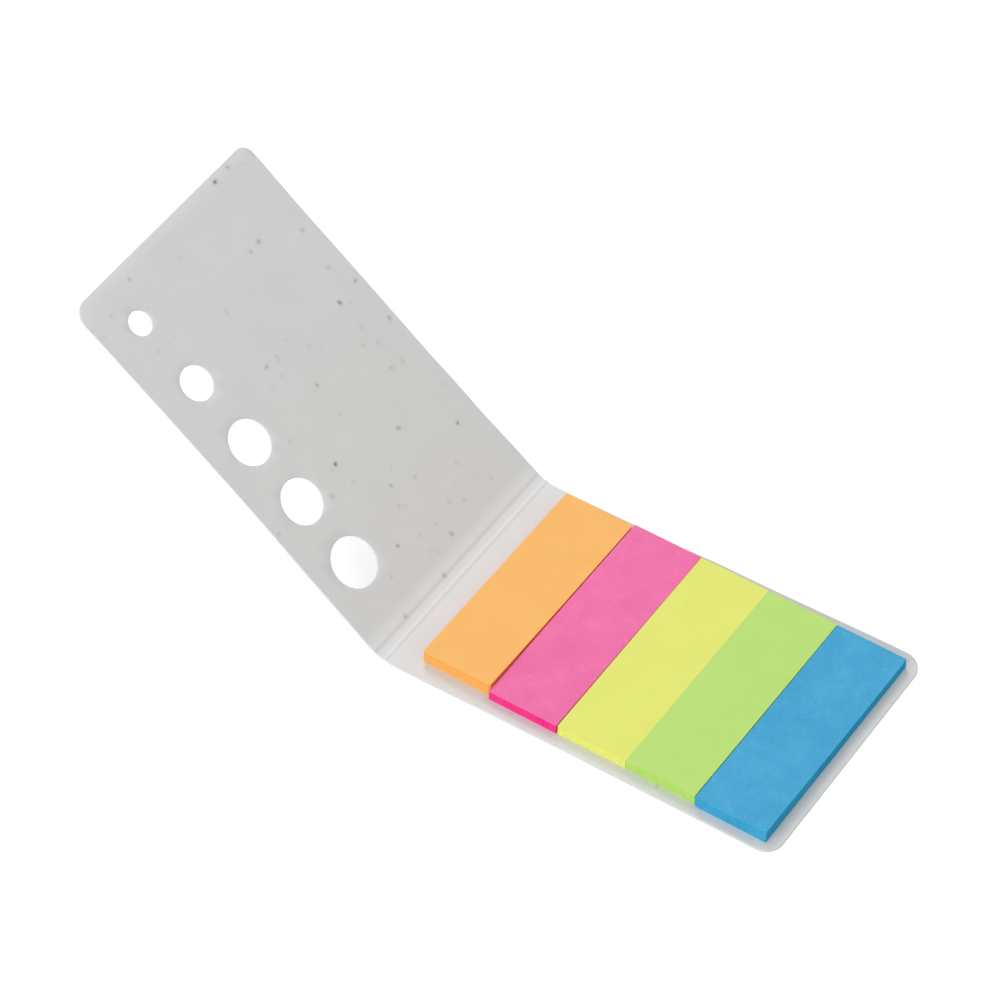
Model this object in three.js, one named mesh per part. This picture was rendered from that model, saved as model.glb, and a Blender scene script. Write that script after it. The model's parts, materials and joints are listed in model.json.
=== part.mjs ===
// A booklet of page markers. A strip of seed paper has two scores across it. The longer half
// stands open as a cover with five round windows, and five pads of sticky notes lie side by side
// on the other half, which rests on the table.
//
// Millimetres, +Z up. X runs along the booklet from the cover to the free end, and Y runs across
// it. The origin is the middle of the base panel's underside.

import * as THREE from 'three';

// The seed paper strip
const paperThickness = 0.45;
const cornerRadius = 3.5;
const arcSegments = 16;

// The pads, from the fold to the free end
const padWidth = 14.85;
const padGap = 0.15;
const padLength = 50;
const padHeight = 2.3;

// The bare paper around the pads
const foldStrip = 5.8;
const sideMargin = 2.25;
const endMargin = 2.75;

// The spine is as high as the pads, with room for the cover to close over them
const closingRoom = 0.7;
const coverOverhang = 1.5;
const scoreGap = 0.3;
const coverAngleDegrees = 37.7;

// One window over each pad, from the fold to the free end
const windowDiameters = [10.3, 9.3, 9.3, 7.2, 5.1];
const windowInset = 9.8;
const windowShift = 1.1;

const pads = [
	{ name: 'orange_pad', color: '#fcbb6d' },
	{ name: 'pink_pad', color: '#f276ae' },
	{ name: 'yellow_pad', color: '#e5ea78' },
	{ name: 'green_pad', color: '#bee27c' },
	{ name: 'blue_pad', color: '#4ea8d4' },
];

// Sizes that follow from those above
const padPitch = padWidth + padGap;
const padsRun = pads.length * padPitch - padGap;
const sheetWidth = padLength + 2 * sideMargin;
const baseLength = foldStrip + padsRun + endMargin;
const coverLength = baseLength + coverOverhang;
const spineWidth = padHeight + closingRoom;
const lowerScoreX = - baseLength / 2;
const upperScoreX = lowerScoreX - spineWidth;
const firstPadX = lowerScoreX + foldStrip;

const seedPaper = new THREE.MeshStandardMaterial( { color: '#d3d1ce', roughness: 0.9, metalness: 0 } );

// The outline of a panel, from the edge at its score to its outer edge, which has rounded corners
// if a radius is given. The panel may run towards +X or -X.
function panelShape( scoreEdge, outerEdge, radius ) {

	const towardsMinus = outerEdge < scoreEdge;
	const arcX = outerEdge + ( towardsMinus ? radius : - radius );
	const arcY = sheetWidth / 2 - radius;
	const outward = towardsMinus ? Math.PI : 0;
	const shape = new THREE.Shape();
	shape.moveTo( scoreEdge, - sheetWidth / 2 );
	shape.lineTo( arcX, - sheetWidth / 2 );
	if ( radius > 0 ) shape.absarc( arcX, - arcY, radius, - Math.PI / 2, - outward, towardsMinus );
	shape.lineTo( outerEdge, arcY );
	if ( radius > 0 ) shape.absarc( arcX, arcY, radius, outward, Math.PI / 2, towardsMinus );
	shape.lineTo( scoreEdge, sheetWidth / 2 );
	shape.closePath();
	return shape;

}

// A panel is its outline with the paper's thickness. Its inner face, which the pads lie on or
// close against, is at z = 0 and the paper hangs below it.
function panel( name, shape ) {

	const geometry = new THREE.ExtrudeGeometry( shape, {
		depth: paperThickness,
		bevelEnabled: false,
		curveSegments: arcSegments,
	} );
	geometry.translate( 0, 0, - paperThickness );
	const mesh = new THREE.Mesh( geometry, seedPaper );
	mesh.name = name;
	return mesh;

}

// The half that lies on the table
function basePanel() {

	const shape = panelShape( lowerScoreX + scoreGap / 2, lowerScoreX + baseLength, cornerRadius );
	const mesh = panel( 'base_panel', shape );
	mesh.position.z = paperThickness;
	return mesh;

}

// The narrow strip between the two scores, flat on the table while the booklet is open
function spine() {

	const shape = panelShape( lowerScoreX - scoreGap / 2, upperScoreX + scoreGap / 2, 0 );
	const mesh = panel( 'spine', shape );
	mesh.position.z = paperThickness;
	return mesh;

}

// The cover turns about the upper score, at the paper's inner face. Each window is a round hole
// that shows one pad's colour when the cover is closed.
function frontCover() {

	const shape = panelShape( - scoreGap / 2, - coverLength, cornerRadius );
	windowDiameters.forEach( ( diameter, index ) => {

		const fromScore = foldStrip + padWidth / 2 + index * padPitch + windowShift;
		const hole = new THREE.Path();
		hole.absarc( - fromScore, windowInset - sheetWidth / 2, diameter / 2, 0, 2 * Math.PI );
		shape.holes.push( hole );

	} );
	const hinge = new THREE.Group();
	hinge.position.set( upperScoreX, 0, paperThickness );
	hinge.rotation.y = THREE.MathUtils.degToRad( coverAngleDegrees );
	hinge.add( panel( 'front_cover', shape ) );
	return hinge;

}

// A block of notes, stuck down by the adhesive under its lowest leaf
function pad( { name, color }, index ) {

	const geometry = new THREE.BoxGeometry( padWidth, padLength, padHeight );
	const material = new THREE.MeshStandardMaterial( { color, roughness: 0.85, metalness: 0 } );
	const mesh = new THREE.Mesh( geometry, material );
	mesh.name = name;
	mesh.position.x = firstPadX + index * padPitch + padWidth / 2;
	mesh.position.z = paperThickness + padHeight / 2;
	return mesh;

}

const booklet = new THREE.Group();
booklet.add( basePanel(), spine(), frontCover() );
booklet.add( ...pads.map( pad ) );

export default booklet;
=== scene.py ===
# %% [markdown]
# # A booklet of page markers, open on a table
#
# The real object is one strip of pale seed paper with two scores across it, and five pads of
# sticky notes stuck down side by side on one half. The other half is the cover, which stands up
# at a slant and has a row of round windows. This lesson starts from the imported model, whose
# boxes and joints give every place and size, and dresses it: a sheet with real scores, windows
# and seeds, and pads made of single leaves.

# %% Load the frame
import json
import math
import random

import bmesh
import bpy
from mathutils import Matrix, Quaternion, Vector, noise


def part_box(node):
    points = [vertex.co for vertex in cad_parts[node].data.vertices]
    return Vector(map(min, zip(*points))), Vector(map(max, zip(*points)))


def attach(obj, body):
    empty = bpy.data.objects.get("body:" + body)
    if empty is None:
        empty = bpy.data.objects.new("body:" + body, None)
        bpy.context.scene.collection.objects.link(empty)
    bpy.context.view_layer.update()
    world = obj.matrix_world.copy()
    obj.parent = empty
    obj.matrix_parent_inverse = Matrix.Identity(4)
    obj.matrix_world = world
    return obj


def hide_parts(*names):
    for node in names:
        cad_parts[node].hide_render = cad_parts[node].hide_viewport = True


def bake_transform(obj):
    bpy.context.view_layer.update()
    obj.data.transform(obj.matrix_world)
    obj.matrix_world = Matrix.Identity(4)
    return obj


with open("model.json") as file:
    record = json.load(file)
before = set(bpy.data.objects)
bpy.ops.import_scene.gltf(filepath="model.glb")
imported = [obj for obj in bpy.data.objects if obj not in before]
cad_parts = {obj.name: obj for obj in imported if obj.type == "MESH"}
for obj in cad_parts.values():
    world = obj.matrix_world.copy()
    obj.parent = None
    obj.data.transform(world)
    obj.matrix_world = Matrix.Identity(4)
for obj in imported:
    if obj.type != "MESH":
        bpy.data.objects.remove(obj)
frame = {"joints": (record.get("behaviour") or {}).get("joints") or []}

MM = 0.001
scene = bpy.context.scene
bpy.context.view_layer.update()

# %% [markdown]
# ## The sizes that the frame gives
#
# A scored cover turns about its two scores, so the joints say where the scores are. The upper
# score's lower limit is the cover laid flat, and that tells how steeply the cover stands at rest.
# The seam, half way between the scores, is where the two halves of the strip are joined below.

# %% Read the scores, the sheet and the cover
joints = {joint["name"]: joint for joint in frame["joints"]}
LOWER_SCORE = Vector(joints["lower_score"]["pos_m"])
UPPER_SCORE = Vector(joints["upper_score"]["pos_m"])
COVER_ANGLE = -math.radians(joints["upper_score"]["range_deg"][0])
base_low, base_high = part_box("base_panel")
cover_low, cover_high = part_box("front_cover")
THICKNESS = base_high[2]
HALF_WIDTH = base_high[1]
FREE_END = base_high[0]
COVER_LENGTH = (cover_high[2] - THICKNESS) / math.sin(COVER_ANGLE)
SEAM = (LOWER_SCORE.x + UPPER_SCORE.x) / 2
COVER_END = UPPER_SCORE.x - COVER_LENGTH
PAD_NODES = ["orange_pad", "pink_pad", "yellow_pad", "green_pad", "blue_pad"]
pad_boxes = {node: [Vector(corner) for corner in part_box(node)] for node in PAD_NODES}
print("cover length in mm:", round(COVER_LENGTH / MM, 1))
print("cover angle in degrees:", round(math.degrees(COVER_ANGLE), 1))

# %% [markdown]
# ## The camera
#
# The photograph was taken from well above the near right corner with a long lens, so parallel
# edges stay nearly parallel. The place, the point looked at and the small roll come from fitting
# a camera to the edges of the pads, the scores and the windows.

# %% Place the camera
CAMERA_PLACE = Vector((284.6, -490.6, 658.8)) * MM
CAMERA_TARGET = Vector((-46.9, 18.1, 0)) * MM
CAMERA_ROLL = math.radians(0.75)
CAMERA_LENS = 167.9

camera = bpy.data.objects.new("camera", bpy.data.cameras.new("camera"))
scene.collection.objects.link(camera)
scene.camera = camera
camera.data.sensor_width = 36
camera.data.lens = CAMERA_LENS
camera.data.clip_start = 0.05
camera.data.clip_end = 50
camera.location = CAMERA_PLACE
camera.rotation_mode = "QUATERNION"
aim = (CAMERA_TARGET - CAMERA_PLACE).to_track_quat("-Z", "Y")
camera.rotation_quaternion = aim @ Quaternion((0, 0, 1), CAMERA_ROLL)
print("camera distance in mm:", round((CAMERA_TARGET - CAMERA_PLACE).length / MM))

# %% [markdown]
# ## Colours and nodes
#
# Colours are written as they are picked from a picture, in sRGB, and one function turns them to
# the linear values that the renderer works in. A second small function adds a node, sets its
# values and links its inputs, so that each material below reads as a short recipe. A third one
# starts a material.

# %% Three helpers for materials
def linear(code):
    """A colour such as "#d3d1ce" as the linear values that a shader takes."""
    channels = [int(code[place:place + 2], 16) / 255 for place in (1, 3, 5)]
    return [c / 12.92 if c <= 0.04045 else ((c + 0.055) / 1.055) ** 2.4 for c in channels] + [1]


def add(tree, kind, settings, links=None):
    """Adds a node. A setting is one of the node's own, or the value of a named or numbered input."""
    node = tree.nodes.new("ShaderNode" + kind)
    for name, value in settings.items():
        if isinstance(name, str) and hasattr(node, name):
            setattr(node, name, value)
        else:
            node.inputs[name].default_value = value
    for name, socket in (links or {}).items():
        tree.links.new(socket, node.inputs[name])
    return node


def new_material(name):
    """An empty node material with its Principled shader."""
    material = bpy.data.materials.new(name)
    material.use_nodes = True
    tree = material.node_tree
    return material, tree, tree.nodes["Principled BSDF"]


print("half grey, #808080, in linear light:", round(linear("#808080")[0], 3))

# %% [markdown]
# ## Paper
#
# Paper is a felt of fibres. Three things show: soft clouds where the felt is thicker, a fine
# grain, and single fibres that caught more or less dye. The clouds and the grain are noise at
# two sizes. A fibre is a contour line of a third noise, cut into short lengths by a fourth. A real
# fibre is about 0.02 mm wide and the real grain is finer still, which is too fine to show here, so
# the fibres are drawn two or three times as wide and the grain about 0.3 mm across. Paper isn't a
# metal, its IOR is about 1.5, and it is rough enough to have no highlight.

# %% The surface of a sheet of paper
PAPER_IOR = 1.5
NOISE_FADE = 0.55
FIBRE_SPACING = 1.6 * MM
FIBRE_WIDTH = 0.018
FIBRE_HEIGHT = 0.5


def fibre_lines(tree, place, spacing, width, contour=0.5):
    """Short curly lines: 1 on a fibre and 0 beside it."""
    look = {"Scale": 1 / spacing, "Detail": 1.0, "Roughness": NOISE_FADE}
    field = add(tree, "TexNoise", look, {"Vector": place})
    off = add(tree, "Math", {"operation": "SUBTRACT", 1: contour}, {0: field.outputs["Fac"]})
    near = add(tree, "Math", {"operation": "ABSOLUTE"}, {0: off.outputs[0]})
    falling = {"From Max": width, "To Min": 1.0, "To Max": 0.0}
    line = add(tree, "MapRange", falling, {"Value": near.outputs[0]})
    wide_look = {"Scale": 1 / (1.7 * spacing), "Detail": 0.0, "Roughness": NOISE_FADE}
    patches = add(tree, "TexNoise", wide_look, {"Vector": place})
    gate = add(tree, "MapRange", {"From Min": 0.52, "From Max": 0.6}, {"Value": patches.outputs["Fac"]})
    cut = add(tree, "Math", {"operation": "MULTIPLY"}, {0: line.outputs[0], 1: gate.outputs[0]})
    return cut.outputs[0]


def felt(tree, place, cloud_size, cloud, grain_size, grain, fibre):
    """How bright the paper is around 1, and the height of its grain."""
    cloud_look = {"Scale": 1 / cloud_size, "Detail": 3.0, "Roughness": NOISE_FADE}
    clouds = add(tree, "TexNoise", cloud_look, {"Vector": place}).outputs["Fac"]
    grain_look = {"Scale": 1 / grain_size, "Detail": 2.0, "Roughness": NOISE_FADE}
    grains = add(tree, "TexNoise", grain_look, {"Vector": place}).outputs["Fac"]
    fibres = fibre_lines(tree, place, FIBRE_SPACING, FIBRE_WIDTH)
    lowest = 1 - cloud / 2 - grain / 2
    cloudy = add(tree, "Math", {"operation": "MULTIPLY_ADD", 1: cloud, 2: lowest}, {0: clouds})
    grainy = add(tree, "Math", {"operation": "MULTIPLY_ADD", 1: grain}, {0: grains, 2: cloudy.outputs[0]})
    fibrous = add(tree, "Math", {"operation": "MULTIPLY_ADD", 1: fibre}, {0: fibres, 2: grainy.outputs[0]})
    height = add(tree, "Math", {"operation": "MULTIPLY_ADD", 1: FIBRE_HEIGHT}, {0: fibres, 2: grains})
    return fibrous.outputs[0], height.outputs[0]


# %% [markdown]
# ## Seed paper
#
# Seed paper is hand-made from recycled pulp with small seeds mixed in. It is a pale grey, a
# little cloudy, and a seed under the surface shows as a dark core in a soft grey halo. The
# pattern follows the flat sheet, so that it runs on over the folds: every point of the sheet
# carries its flat place as an attribute. A second attribute says how much seed shows there, and
# a third where painted shade darkens the paper along the crease.

# %% Mix the seed paper
def seed_paper():
    material, tree, shader = new_material("seed_paper_recycled_pulp")
    place = add(tree, "Attribute", {"attribute_name": "sheet_place"}).outputs["Vector"]
    level, height = felt(tree, place, 8 * MM, 0.07, 0.35 * MM, 0.06, -0.035)
    pulp = add(tree, "HueSaturation", {"Color": linear("#dfe0df")}, {"Value": level})

    # The seeds, which are dark where the attribute is high
    seeds = add(tree, "Attribute", {"attribute_name": "seed_shows"}).outputs["Fac"]
    husk = {"Color2": linear("#625e55")}
    seeded = add(tree, "MixRGB", husk, {"Fac": seeds, "Color1": pulp.outputs[0]})

    # Specks of bran about 4.5 mm apart, of which a gate keeps less than half
    cells = {"Scale": 1 / (4.5 * MM), "Randomness": 1.0}
    bran = add(tree, "TexVoronoi", cells, {"Vector": place})
    round_spot = {"From Min": 0.02, "From Max": 0.075, "To Min": 0.32, "To Max": 0.0}
    spot = add(tree, "MapRange", round_spot, {"Value": bran.outputs["Distance"]})
    lot = add(tree, "SeparateColor", {}, {"Color": bran.outputs["Color"]})
    gate = add(tree, "MapRange", {"From Min": 0.55, "From Max": 0.95}, {"Value": lot.outputs["Red"]})
    kept = add(tree, "Math", {"operation": "MULTIPLY"}, {0: spot.outputs[0], 1: gate.outputs[0]})
    bran_tone = {"Color2": linear("#8f8a80")}
    speckled = add(tree, "MixRGB", bran_tone, {"Fac": kept.outputs[0], "Color1": seeded.outputs[0]})

    # Painted shade along the crease
    crease = add(tree, "Attribute", {"attribute_name": "painted_crease_shade"}).outputs["Fac"]
    crease_shade = add(tree, "Math", {"operation": "MULTIPLY", 1: 0.22}, {0: crease})
    crease_shade_tone = {"Color2": linear("#9c8b80")}
    shaded_crease_mix = add(tree, "MixRGB", crease_shade_tone, {"Fac": crease_shade.outputs[0], "Color1": speckled.outputs[0]})

    bump = add(tree, "Bump", {"Distance": 0.03 * MM, "Strength": 0.35}, {"Height": height})
    tree.links.new(bump.outputs["Normal"], shader.inputs["Normal"])
    tree.links.new(shaded_crease_mix.outputs[0], shader.inputs["Base Color"])
    shader.inputs["Roughness"].default_value = 0.92
    shader.inputs["IOR"].default_value = PAPER_IOR
    shader.inputs["Specular IOR Level"].default_value = 0.25
    return material


SEED_PAPER = seed_paper()
print(SEED_PAPER.name, "has", len(SEED_PAPER.node_tree.nodes), "nodes")

# %% [markdown]
# ## Note paper
#
# The notes are smooth machine-made paper dyed through with bright dye. The face is nearly even,
# and most on the pink and the blue some fibres took more dye and some less. The cut edges of a
# pad are deeper in colour than its face, because light is caught between the leaves. Both long
# sides get a deeper, redder copy of the dye still, which is painted shade. So a pad has three
# colours: face, cut ends and long sides with painted shade. Its marks are the contrast of the
# clouds, of the grain and of the fibres.

# %% Mix the dyed papers
DARK_FIBRE_SPACING = 1.1 * MM
DARK_FIBRE_WIDTH = 0.014
DARK_FIBRE_CONTOUR = 0.42


def note_paper(name, code, cloud, grain, fibre):
    material, tree, shader = new_material(name)
    place = add(tree, "TexCoord", {}).outputs["Object"]
    pale_felt, height = felt(tree, place, 5 * MM, cloud, 0.3 * MM, grain, fibre)
    dark_fibres = fibre_lines(tree, place, DARK_FIBRE_SPACING, DARK_FIBRE_WIDTH, DARK_FIBRE_CONTOUR)
    darken = {"operation": "MULTIPLY_ADD", 1: -0.8 * fibre}
    level = add(tree, "Math", darken, {0: dark_fibres, 2: pale_felt}).outputs[0]

    # Where the paper is paler it is also less saturated
    fade = add(tree, "Math", {"operation": "MULTIPLY_ADD", 1: -0.3, 2: 1.3}, {0: level}).outputs[0]
    dyed = add(tree, "HueSaturation", {"Color": linear(code)}, {"Value": level, "Saturation": fade})

    bump = add(tree, "Bump", {"Distance": 0.012 * MM, "Strength": 0.3}, {"Height": height})
    tree.links.new(bump.outputs["Normal"], shader.inputs["Normal"])
    tree.links.new(dyed.outputs[0], shader.inputs["Base Color"])
    shader.inputs["Roughness"].default_value = 0.85
    shader.inputs["IOR"].default_value = PAPER_IOR
    shader.inputs["Specular IOR Level"].default_value = 0.2
    return material


# For each pad: face, cut ends, and long sides whose deeper colour is painted shade.
NOTE_COLOURS = {
    "orange_pad": ("#fcbd6e", "#fbb45d", "#ff7434"),
    "pink_pad": ("#f276ad", "#f72d89", "#fa1c50"),
    "yellow_pad": ("#e6eb78", "#ebee77", "#e9e65c"),
    "green_pad": ("#bee37b", "#bce370", "#9cdc50"),
    "blue_pad": ("#4ba9d6", "#3da8d4", "#29a2ce"),
}
NOTE_MARKS = {
    "orange_pad": (0.08, 0.05, 0.01),
    "pink_pad": (0.18, 0.13, 0.1),
    "yellow_pad": (0.08, 0.04, 0.01),
    "green_pad": (0.08, 0.04, 0.01),
    "blue_pad": (0.24, 0.26, 0.12),
}

# %% [markdown]
# ## The strip of paper, flat
#
# The strip is made flat, as it was cut, and bent afterwards. A box is stretched to the panel's
# size and its two outer corners are rounded by bevelling their upright edges. They were cut by
# hand, so no two of the four have quite the same radius. Cutting planes then slice the panel into
# cells, closely spaced beside a score and wide apart elsewhere, so that it can bend. The strip is
# made as two pieces that meet in the middle of the spine, because each piece can then bend about
# one score.

# %% Cut a rounded panel
BASE_CORNERS = {"near": 3.5 * MM, "far": 4.1 * MM}
COVER_CORNERS = {"near": 3.6 * MM, "far": 2.6 * MM}
CORNER_SEGMENTS = 14


def edge_middle(edge):
    return (edge.verts[0].co + edge.verts[1].co) / 2


def cut_panel(outer_x, corners):
    """A flat panel from the seam to outer_x, with its underside at z = 0."""
    bm = bmesh.new()
    bmesh.ops.create_cube(bm, size=1)
    size = Vector((abs(outer_x - SEAM), 2 * HALF_WIDTH, THICKNESS))
    bmesh.ops.scale(bm, vec=size, verts=bm.verts)
    bmesh.ops.translate(bm, vec=((outer_x + SEAM) / 2, 0, THICKNESS / 2), verts=bm.verts)
    for side, corner_y in (("near", -HALF_WIDTH), ("far", HALF_WIDTH)):
        corner = Vector((outer_x, corner_y, THICKNESS / 2))
        upright = min(bm.edges, key=lambda edge: (edge_middle(edge) - corner).length)
        bmesh.ops.bevel(bm, geom=[upright], offset=corners[side], offset_type="OFFSET",
                        affect="EDGES", segments=CORNER_SEGMENTS, profile=0.5, material=-1)
    return bm


# %% [markdown]
# ## The windows
#
# The windows are punched with round dies, one size for each, and the row lies near one long
# side, one window over each pad when the cover is shut. The list gives how far each window lies
# from the upper score and from the near edge, and its diameter. A punch is a cylinder that passes
# through the sheet, and a Boolean modifier takes it away.

# %% Punch the windows
WINDOWS_MM = [
    (14.2, 9.7, 10.3),
    (29.3, 9.8, 9.3),
    (44.1, 9.8, 9.3),
    (59.0, 9.8, 7.2),
    (74.4, 9.4, 5.1),
]
WINDOW_SEGMENTS = 72


def window_places():
    """The middle and the radius of each window on the flat strip."""
    for from_score, from_edge, diameter in WINDOWS_MM:
        middle = Vector((UPPER_SCORE.x - from_score * MM, from_edge * MM - HALF_WIDTH, 0))
        yield middle, diameter * MM / 2


def punch_windows(bm):
    """The sheet with its windows cut out, as a new bmesh."""
    punches = bmesh.new()
    for place, radius in window_places():
        matrix = Matrix.Translation(place)
        bmesh.ops.create_cone(punches, cap_ends=True, segments=WINDOW_SEGMENTS, radius1=radius,
                              radius2=radius, depth=6 * THICKNESS, matrix=matrix)
    sheet_object = object_from(bm, "punched_sheet")
    punch_object = object_from(punches, "punches")
    cut = sheet_object.modifiers.new("windows", "BOOLEAN")
    cut.object = punch_object
    cut.solver = "EXACT"
    bpy.context.view_layer.update()
    result = sheet_object.evaluated_get(bpy.context.evaluated_depsgraph_get()).to_mesh()
    punched = bmesh.new()
    punched.from_mesh(result)
    for helper in (sheet_object, punch_object):
        bpy.data.objects.remove(helper, do_unlink=True)
    print("punched sheet:", len(punched.faces), "faces")
    return punched


def object_from(bm, name):
    """A new object that holds the bmesh, which is freed."""
    mesh = bpy.data.meshes.new(name)
    bm.to_mesh(mesh)
    bm.free()
    made = bpy.data.objects.new(name, mesh)
    scene.collection.objects.link(made)
    return made


# %% [markdown]
# ## Soft edges and cells
#
# A die leaves the edge of paper slightly rounded, so the sharp rims get a very small bevel, all
# but the rim at the seam, where the two pieces have to meet flush. Then the planes slice the
# sheet: every 0.13 mm beside a score, and every few millimetres elsewhere.

# %% Soften the rims and slice the sheet
EDGE_SOFTNESS = 0.08 * MM
SHARP_RIM = math.radians(40)
SCORE_REACH = 3.2 * MM
FINE_STEP = 0.13 * MM
COARSE_STEP = 2.6 * MM
SNAP_DISTANCE = 0.001 * MM


def soften_rims(bm):
    """Rounds every sharp rim that lies in a face of the sheet, away from the seam."""
    rims = [
        edge for edge in bm.edges
        if edge.is_manifold and edge.calc_face_angle(0) > SHARP_RIM
        and abs(edge.verts[0].co.z - edge.verts[1].co.z) < EDGE_SOFTNESS
        and min(abs(vert.co.x - SEAM) for vert in edge.verts) > EDGE_SOFTNESS
    ]
    bmesh.ops.bevel(bm, geom=rims, offset=EDGE_SOFTNESS, offset_type="OFFSET", affect="EDGES",
                    segments=2, profile=0.5, material=-1, clamp_overlap=True)


def steps(start, stop, step):
    """Evenly spaced values strictly between start and stop."""
    count = max(1, round(abs(stop - start) / step))
    return [start + (stop - start) * index / count for index in range(1, count)]


def slice_sheet(bm, outer_x, score_x):
    """Cuts the sheet into cells, narrow ones from the seam to beyond the score."""
    direction = 1 if outer_x > SEAM else -1
    fine_end = score_x + direction * SCORE_REACH
    cuts_x = steps(SEAM, fine_end, FINE_STEP) + [fine_end] + steps(fine_end, outer_x, COARSE_STEP)
    cuts_y = steps(-HALF_WIDTH, HALF_WIDTH, COARSE_STEP)
    planes = [(Vector((x, 0, 0)), Vector((1, 0, 0))) for x in cuts_x]
    planes += [(Vector((0, y, 0)), Vector((0, 1, 0))) for y in cuts_y]
    for point, normal in planes:
        everything = bm.verts[:] + bm.edges[:] + bm.faces[:]
        bmesh.ops.bisect_plane(bm, geom=everything, plane_co=point, plane_no=normal,
                               dist=SNAP_DISTANCE)


# %% [markdown]
# ## Seeds
#
# A seed just under the surface lifts the pulp into a low mound, dark in the middle and pale at
# the rim. Each one is a flattened sphere set into the face of the sheet so that only a thin cap
# stands proud. The larger ones on the inside of the cover are listed one by one as they lie on the
# real sheet, as distance from the upper score, distance from the middle of the width, and how
# strongly each shows. The rest are scattered by a seeded draw.

# %% Seeds that show on the inside of the cover
COVER_SEEDS_MM = [
    (83.4, 16.0, 1.0), (29.6, -6.3, 1.0), (50.4, 19.2, 0.85), (17.9, 21.2, 0.75),
    (10.2, -7.9, 0.55), (25.6, 10.1, 0.5), (69.6, 14.5, 0.5), (4.1, 3.0, 0.5),
    (41.5, 25.6, 0.45), (51.2, 25.4, 0.45), (42.5, 2.5, 0.42), (51.8, -3.4, 0.42),
    (19.0, 0.0, 0.4), (83.7, 20.5, 0.4), (25.7, -11.6, 0.32), (65.2, 24.0, 0.32),
    (38.8, -10.6, 0.22), (81.7, -13.2, 0.28), (69.3, 11.6, 0.28), (28.3, -26.2, 0.28),
    (34.6, 18.2, 0.25), (56.7, 22.7, 0.25), (16.8, 5.5, 0.25), (41.5, 16.7, 0.22),
    (7.1, -13.6, 0.22), (-0.2, -4.6, 0.5), (0.0, -17.2, 0.4), (8.6, 7.5, 0.22),
    (15.3, -1.7, 0.2), (63.7, -15.6, 0.18), (12.7, 14.8, 0.18), (39.7, 19.7, 0.2),
]
SCATTERED_SPACING = 12 * MM
FAINT_STRENGTHS = (0.1, 0.12, 0.16, 0.2)


def seed_list(outer_x):
    """Every seed of a panel: its flat place, the side it shows on, and its strength."""
    draw = random.Random(11 if outer_x > SEAM else 7)
    found = []
    if outer_x < SEAM:
        found += [(UPPER_SCORE.x - u * MM, y * MM, 1, shows) for u, y, shows in COVER_SEEDS_MM]
    area = abs(outer_x - SEAM) * 2 * HALF_WIDTH
    for side in (1, -1):
        for _ in range(int(area / SCATTERED_SPACING ** 2)):
            x = SEAM + (outer_x - SEAM) * draw.uniform(0.04, 0.97)
            y = HALF_WIDTH * draw.uniform(-0.94, 0.94)
            strength = draw.choice(FAINT_STRENGTHS) if side > 0 else draw.uniform(0.15, 0.95)
            found.append((x, y, side, strength))
    return found


print("seeds on the cover:", len(seed_list(COVER_END)), "on the base:", len(seed_list(FREE_END)))

# %% [markdown]
# ## The shape of a seed
#
# A sphere that is squeezed to a few hundredths of a millimetre makes the mound, because the
# paper hides its lower half. Each point of it carries how much seed shows there: all of it in the
# core, a little in the halo, and nothing at the rim, where the mound meets the paper. A seed near
# an edge of the strip is made smaller, so that it doesn't reach over the edge.

# %% Make the seeds of a panel
SEED_REACH = 1.3 * MM
SEED_CAP = 0.014 * MM
CORE_SHARE = 0.34


def on_paper(x, y):
    """Whether a seed there would miss the windows."""
    gaps = [math.hypot(x - place.x, y - place.y) - radius for place, radius in window_places()]
    return min(gaps) > 1.2 * SEED_REACH


def room_at(x, y):
    """How far a flat place is from the nearest edge of the strip."""
    return min(FREE_END - x, x - COVER_END, HALF_WIDTH - abs(y))


def seed_mesh(outer_x):
    """All the seeds of a panel, in their flat places."""
    bm = bmesh.new()
    shows = bm.verts.layers.float.new("seed_shows")
    draw = random.Random(3)
    for x, y, side, strength in seed_list(outer_x):
        long_way = min(SEED_REACH * draw.uniform(0.85, 1.15), 0.9 * room_at(x, y))
        turn = Matrix.Rotation(draw.uniform(0, math.pi), 4, "Z")
        if not on_paper(x, y):
            continue
        middle = Vector((x, y, THICKNESS if side > 0 else 0))
        depth = SEED_CAP * (0.6 + 0.6 * strength)
        flattened = Matrix.Diagonal((long_way, 0.8 * long_way, depth, 1))
        shape = Matrix.Translation(middle) @ turn @ flattened
        for vert in bmesh.ops.create_icosphere(bm, subdivisions=3, radius=1)["verts"]:
            away = math.hypot(vert.co.x, vert.co.y)
            core = math.exp(-(away / CORE_SHARE) ** 2)
            halo = max(0.0, 1 - away) ** 2
            vert[shows] = strength * (0.8 * core + 0.2 * halo) * min(1, 8 * (1 - away))
            vert.co = shape @ vert.co
    mesh = bpy.data.meshes.new("seeds")
    bm.to_mesh(mesh)
    bm.free()
    return mesh


# %% [markdown]
# ## Bending the strip to its rest shape
#
# The lower score is pressed from the outside, which leaves a low rounded bead on the inside. The
# upper one has been opened and shut, and is a fine shallow crease, darkened along it by painted
# shade. About it the strip turns up within a few millimetres, and then it runs on with a slight
# bow, because the paper was shut until now. A point goes from its flat place to the bent sheet by
# walking along two arcs, the tight one at the score and the long one of the cover.

# %% Score, bend and bow the strip
BEAD_PLACE = LOWER_SCORE.x - 0.3 * MM
BEAD_HEIGHT = 0.17 * MM
BEAD_HALF_WIDTH = 0.35 * MM
CREASE_PLACE = UPPER_SCORE.x + 0.4 * MM
CREASE_HALF_WIDTH = 0.4 * MM
CREASE_DEPTH = 0.02 * MM
BEND_HALF_LENGTH = 3.0 * MM
COVER_BOW = 0.059
RIPPLE_HEIGHT = 0.05 * MM
RIPPLE_SIZE = 26 * MM


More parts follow.
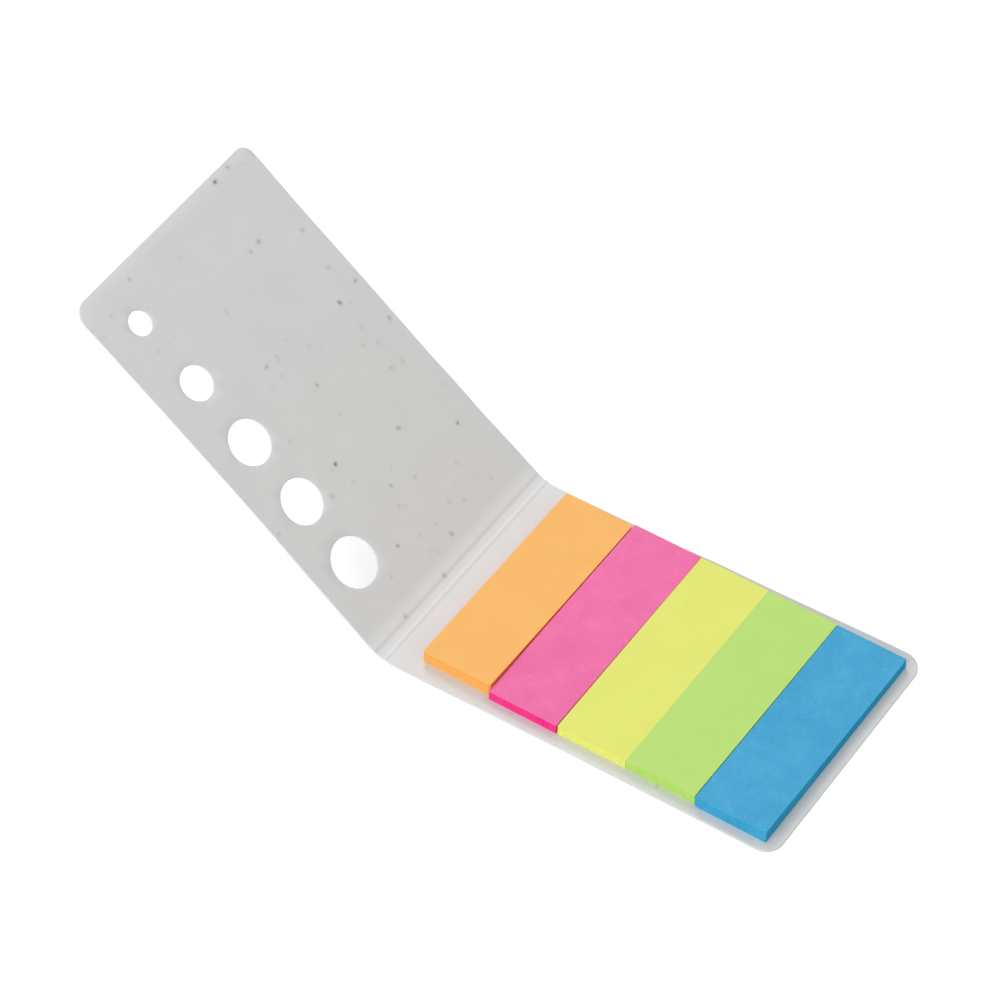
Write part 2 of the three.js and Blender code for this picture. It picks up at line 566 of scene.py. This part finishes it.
def walk_arc(place, slope, length, turn):
    """The end of an arc that starts at place with the given slope and turns by turn."""
    if abs(turn) < 1e-6:
        return place + Vector((-math.cos(slope), 0, math.sin(slope))) * length, slope
    radius = length / turn
    across = math.sin(slope + turn) - math.sin(slope)
    up = math.cos(slope) - math.cos(slope + turn)
    return place + Vector((-across, 0, up)) * radius, slope + turn


def hump(x, middle, half_width):
    """1 at the middle of a score, falling smoothly to 0 on both sides."""
    return math.exp(-((x - middle) / half_width) ** 2)


def bend_point(co):
    """Where a point of the flat strip lies on the bent sheet."""
    bead = BEAD_HEIGHT * hump(co.x, BEAD_PLACE, BEAD_HALF_WIDTH)
    crease = CREASE_DEPTH * hump(co.x, CREASE_PLACE, CREASE_HALF_WIDTH)
    above = co.z - THICKNESS + bead - crease
    start_x = UPPER_SCORE.x + BEND_HALF_LENGTH
    beyond = start_x - co.x
    if beyond <= 0:
        return Vector((co.x, co.y, THICKNESS + above))
    steepest = COVER_ANGLE + COVER_BOW / 2
    place, slope = Vector((start_x, 0, THICKNESS)), 0.0
    tight = min(beyond, 2 * BEND_HALF_LENGTH)
    place, slope = walk_arc(place, slope, tight, steepest * tight / (2 * BEND_HALF_LENGTH))
    rest = beyond - tight
    place, slope = walk_arc(place, slope, rest, -COVER_BOW * rest / COVER_LENGTH)
    waves = noise.noise(Vector((co.x, co.y, 0)) / RIPPLE_SIZE)
    ripple = RIPPLE_HEIGHT * waves * min(1, rest / RIPPLE_SIZE)
    outward = Vector((math.sin(slope), 0, math.cos(slope)))
    return Vector((0, co.y, 0)) + place + outward * (above + ripple)


end_of_cover = bend_point(Vector((COVER_END, 0, THICKNESS)))
print("the cover's end stands in mm at:", [round(side / MM, 1) for side in end_of_cover])

# %% [markdown]
# ## Out of square
#
# The strip was cut by hand, and its long edges wander by up to a millimetre. Each row of the list
# is a place along the strip, measured from the upper score towards the cover's end, and how far
# the near and the far edge lie from where a square sheet would have them. Between two rows the
# edge runs smoothly. The two short ends are a little askew as well.

# %% Let the long edges wander
EDGES_MM = [
    (85, 0.12, 0.0),
    (66, 0.12, -0.4),
    (34, 0.12, -0.4),
    (18, -0.05, -0.1),
    (2, -0.05, 0.5),
    (-5, -0.74, -0.62),
    (-8, -0.78, -0.65),
    (-30, -0.4, -0.45),
    (-44, -0.2, 0.1),
    (-87, -0.05, 0.9),
]
COVER_SKEW = 0.5 * MM
BASE_SKEW = 0.35 * MM


def out_of_square(co):
    """The flat strip as it was really cut."""
    along = (UPPER_SCORE.x - co.x) / MM
    toward_near = 0.5 - co.y / (2 * HALF_WIDTH)
    near, far = EDGES_MM[-1][1:]
    for (start, *start_edges), (end, *end_edges) in zip(EDGES_MM, EDGES_MM[1:]):
        if start >= along >= end:
            part = (start - along) / (start - end)
            eased = part * part * (3 - 2 * part)
            near, far = [a + (b - a) * eased for a, b in zip(start_edges, end_edges)]
    aside = (near * toward_near + far * (1 - toward_near)) * MM
    cover_part = max(0, (UPPER_SCORE.x - co.x) / COVER_LENGTH)
    base_part = max(0, (co.x - LOWER_SCORE.x) / (FREE_END - LOWER_SCORE.x))
    lengthwise = (COVER_SKEW * cover_part ** 4 + BASE_SKEW * base_part ** 4) * toward_near
    return co + Vector((lengthwise, aside, 0))


far_corner = out_of_square(Vector((FREE_END, HALF_WIDTH, 0)))
print("the far free corner lies aside by mm:", round((far_corner.y - HALF_WIDTH) / MM, 2))

# %% [markdown]
# ## Putting a piece of the strip together
#
# The steps above are run in the order in which the real strip was made: cut, punched, softened,
# scored and bent. The seeds are added while the sheet is still flat, so that they bend with it.
# Before the sheet is bent, every point notes its flat place for the paper's pattern.

# %% Make the two pieces of the strip
CRISP_EDGE = math.radians(35)


def make_sheet(name, outer_x, score_x, corners, windows):
    """One half of the strip, bent to its rest shape."""
    bm = cut_panel(outer_x, corners)
    if windows:
        bm = punch_windows(bm)
    soften_rims(bm)
    slice_sheet(bm, outer_x, score_x)
    bmesh.ops.triangulate(bm, faces=[face for face in bm.faces if len(face.verts) > 4])
    bm.verts.layers.float.new("seed_shows")
    bm.from_mesh(seed_mesh(outer_x))
    flat_place = bm.verts.layers.float_vector.new("sheet_place")
    # How much painted shade darkens the paper along the crease
    crease_shaded = bm.verts.layers.float.new("painted_crease_shade")
    for vert in bm.verts:
        vert[flat_place] = vert.co
        vert[crease_shaded] = hump(vert.co.x, CREASE_PLACE, CREASE_HALF_WIDTH)
        vert.co = bend_point(out_of_square(vert.co))
    for face in bm.faces:
        face.smooth = True
    for edge in bm.edges:
        edge.smooth = edge.calc_face_angle(0) < CRISP_EDGE
    sheet = object_from(bm, name)
    sheet.data.materials.append(SEED_PAPER)
    print(name, len(sheet.data.polygons), "faces")
    return sheet


base_sheet = make_sheet("base_sheet", FREE_END, LOWER_SCORE.x, BASE_CORNERS, False)
cover_sheet = make_sheet("cover_sheet", COVER_END, UPPER_SCORE.x, COVER_CORNERS, True)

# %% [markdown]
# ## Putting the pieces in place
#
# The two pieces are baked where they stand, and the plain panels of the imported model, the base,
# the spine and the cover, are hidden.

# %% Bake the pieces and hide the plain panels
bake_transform(base_sheet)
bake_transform(cover_sheet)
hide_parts("base_panel", "spine")
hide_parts("front_cover")

# %% [markdown]
# ## The leaves of a pad
#
# A pad is a stack of thin leaves that were cut together, so its sides are nearly flush and show
# the leaves as fine lines. Each leaf is a box of its own with a hair of air above it, moved by no
# more than a few hundredths of a millimetre. A real leaf is about 0.1 mm thick.

# %% Stack the leaves
LEAF_PITCH = 0.1 * MM
LEAF_AIR = 0.012 * MM
LEAF_DRIFT = 0.012 * MM


def stack_leaves(bm, low, high, draw):
    """A box for each leaf between the two corners."""
    count = round((high.z - low.z) / LEAF_PITCH)
    pitch = (high.z - low.z) / count
    leaf_size = Vector((high.x - low.x, high.y - low.y, pitch - LEAF_AIR))
    for index in range(count):
        drift = Vector((draw.gauss(0, 0.4), draw.gauss(0, 1), 0)) * LEAF_DRIFT
        middle = Vector(((low.x + high.x) / 2, (low.y + high.y) / 2, low.z + (index + 0.5) * pitch))
        matrix = Matrix.Translation(middle + drift) @ Matrix.Diagonal((*leaf_size, 1))
        bmesh.ops.create_cube(bm, size=1, matrix=matrix)


first_low, first_high = pad_boxes["orange_pad"]
print("leaves in a pad:", round((first_high.z - first_low.z) / LEAF_PITCH))

# %% [markdown]
# ## How each pad lies
#
# The pads were stuck down by hand, and their glue is at the far end, so the near ends are loose
# and some stand a little higher there. The first table says how far aside of its place each pad's
# left side lies at its near and far end, and then its right side. The second says how far its
# near and far ends lie off, and how much higher its left and right near corners stand.

# %% Move the stack and loosen its near end
PAD_SIDES_MM = {
    "orange_pad": (-0.1, -0.05, 0.12, 0.12),
    "pink_pad": (0.17, 0.21, 0.17, 0.29),
    "yellow_pad": (0.22, 0.16, 0.17, 0.27),
    "green_pad": (0.04, 0.14, 0.07, 0.27),
    "blue_pad": (0.16, 0.24, 0.4, 0.33),
}
PAD_ENDS_MM = {
    "orange_pad": (0.75, -0.3, 0.4, 0.7),
    "pink_pad": (-0.05, 0.1, -0.12, -0.1),
    "yellow_pad": (0.1, 0.05, -0.1, -0.05),
    "green_pad": (0.15, 0.0, 0.0, 0.12),
    "blue_pad": (-0.25, -0.1, 0.25, 0.7),
}


def loosen(bm, low, high, sides, ends):
    """Moves the stack to its real place and lifts its loose near end."""
    left_near, left_far, right_near, right_far = [value * MM for value in sides]
    near_end, far_end, left, right = [value * MM for value in ends]
    for vert in bm.verts:
        along = (vert.co.y - low.y) / (high.y - low.y)
        across = (vert.co.x - low.x) / (high.x - low.x)
        up = (vert.co.z - low.z) / (high.z - low.z)
        lift = (left + (right - left) * across) * (1 - along) ** 2
        left_side = left_near + (left_far - left_near) * along
        right_side = right_near + (right_far - right_near) * along
        aside = left_side + (right_side - left_side) * across
        vert.co += Vector((aside, near_end + (far_end - near_end) * along, lift * up))


# %% [markdown]
# ## Making the pads
#
# The upright corners of the leaves are rounded by a bevel, most on the orange pad, whose corners
# are worn. A few cuts across the length let the near end rise in a curve. Then each face gets the
# colour of its side: a leaf's own face, a cut end, or a long side with painted shade.

# %% Make the pads
PAD_CUTS = 6
PAD_CORNER = {"orange_pad": 0.55 * MM}
USUAL_CORNER = 0.12 * MM
# The third colour, on the long sides, is painted shade.
PAD_TONES = ("dyed_paper", "cut_ends", "shaded_long_sides")


def pad_tone_of(face):
    """The number of a face's colour, by the way it points; the long sides get painted shade."""
    if abs(face.normal.z) > 0.5:
        return PAD_TONES.index("dyed_paper")
    return PAD_TONES.index("cut_ends" if abs(face.normal.y) > 0.5 else "shaded_long_sides")


def make_pad(node, draw):
    """A pad of leaves in the place of its block."""
    low, high = pad_boxes[node]
    bm = bmesh.new()
    stack_leaves(bm, low, high, draw)
    upright = [edge for edge in bm.edges
               if abs(edge.verts[0].co.z - edge.verts[1].co.z) > LEAF_PITCH / 2]
    bmesh.ops.bevel(bm, geom=upright, offset=PAD_CORNER.get(node, USUAL_CORNER),
                    offset_type="OFFSET", affect="EDGES", segments=4, profile=0.5, material=-1)
    for cut in steps(low.y, high.y, (high.y - low.y) / PAD_CUTS):
        everything = bm.verts[:] + bm.edges[:] + bm.faces[:]
        bmesh.ops.bisect_plane(bm, geom=everything, plane_co=Vector((0, cut, 0)),
                               plane_no=Vector((0, 1, 0)))
    for face in bm.faces:
        face.material_index = pad_tone_of(face)
    loosen(bm, low, high, PAD_SIDES_MM[node], PAD_ENDS_MM[node])
    pad = object_from(bm, node.replace("pad", "leaves"))
    colour = node.replace("_pad", "")
    for pad_tone, code in zip(PAD_TONES, NOTE_COLOURS[node]):
        pad.data.materials.append(note_paper(colour + "_" + pad_tone, code, *NOTE_MARKS[node]))
    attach(pad, "base")
    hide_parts(node)
    return pad


leaf_draw = random.Random(5)
pads = [make_pad(node, leaf_draw) for node in PAD_NODES]
print("pads:", [len(pad.data.polygons) for pad in pads], "faces")

# %% [markdown]
# ## Floor
#
# The booklet lies on a plain white surface. The floor gives out a little light of its own to the
# camera alone, so that it reads as white in the picture, keeps the shadow, and adds no light to
# the booklet. It lies a hair below the sheet, which leaves room for the seeds underneath.

# %% Lay the floor
FLOOR_SIZE = 20.0
FLOOR_GAP = 0.03 * MM
FLOOR_LIFT = 0.58


def floor_material():
    material, tree, shader = new_material("white_sweep")
    shader.inputs["Base Color"].default_value = linear("#cfcfcf")
    shader.inputs["Roughness"].default_value = 0.95
    shader.inputs["Specular IOR Level"].default_value = 0.0
    shader.inputs["Emission Color"].default_value = (1, 1, 1, 1)
    rays = add(tree, "LightPath", {})
    seen = add(tree, "Math", {"operation": "MAXIMUM"},
               {0: rays.outputs["Is Camera Ray"], 1: rays.outputs["Is Glossy Ray"]})
    also = add(tree, "Math", {"operation": "MAXIMUM"},
               {0: seen.outputs[0], 1: rays.outputs["Is Transmission Ray"]})
    lift = add(tree, "Math", {"operation": "MULTIPLY", 1: FLOOR_LIFT}, {0: also.outputs[0]})
    tree.links.new(lift.outputs[0], shader.inputs["Emission Strength"])
    return material


floor_mesh = bmesh.new()
bmesh.ops.create_grid(floor_mesh, x_segments=1, y_segments=1, size=FLOOR_SIZE / 2)
floor = object_from(floor_mesh, "floor")
floor.data.materials.append(floor_material())
floor.location.z = -FLOOR_GAP
print("the floor lies below the sheet by mm:", round(-floor.location.z / MM, 2))

# %% [markdown]
# ## Light
#
# Soft studio light comes from three sides: an even white sky, a lamp behind and to the left that
# gives the short shadows right of the pads, and a low lamp in front that lights their near ends.
# A square lamp of P watts, d metres away and h degrees up, lights a level face by
# P * sin(h) / (pi * d) ** 2. The sky and the lamps together come to about 1, at which a colour
# renders as it is written.

# %% Light the sky
SKY_LEVEL = 0.55

world = bpy.data.worlds.new("studio")
scene.world = world
world.use_nodes = True
sky = world.node_tree.nodes["Background"]
sky.inputs["Color"].default_value = (1, 1, 1, 1)
sky_rays = add(world.node_tree, "LightPath", {})
sky_seen = add(world.node_tree, "Math", {"operation": "MAXIMUM"},
               {0: sky_rays.outputs["Is Camera Ray"], 1: sky_rays.outputs["Is Glossy Ray"]})
sky_also = add(world.node_tree, "Math", {"operation": "MAXIMUM"},
               {0: sky_seen.outputs[0], 1: sky_rays.outputs["Is Transmission Ray"]})
sky_level = add(world.node_tree, "MapRange", {"To Min": SKY_LEVEL, "To Max": 1.0},
                {"Value": sky_also.outputs[0]})
world.node_tree.links.new(sky_level.outputs[0], sky.inputs["Strength"])

# %% Hang the lamps
LAMP_DISTANCE = 1.3


def hang_lamp(name, direction, size, power):
    """Hangs a square lamp that shines on the booklet, and says how it lights a level face."""
    lamp = bpy.data.objects.new(name, bpy.data.lights.new(name, "AREA"))
    scene.collection.objects.link(lamp)
    lamp.data.shape = "SQUARE"
    lamp.data.size = size
    lamp.data.energy = power
    towards = Vector(direction).normalized()
    lamp.location = towards * LAMP_DISTANCE
    lamp.rotation_mode = "QUATERNION"
    lamp.rotation_quaternion = (-towards).to_track_quat("-Z", "Y")
    return power * towards.z / (math.pi * LAMP_DISTANCE) ** 2


back_light = hang_lamp("back_softbox", (-0.5, 0.5, 0.7), 0.5, 5.2)
front_light = hang_lamp("front_softbox", (-0.05, -0.89, 0.42), 0.7, 9.0)
print("light on a level face:", round(SKY_LEVEL + back_light + front_light, 2))

scene.view_settings.view_transform = "Standard"
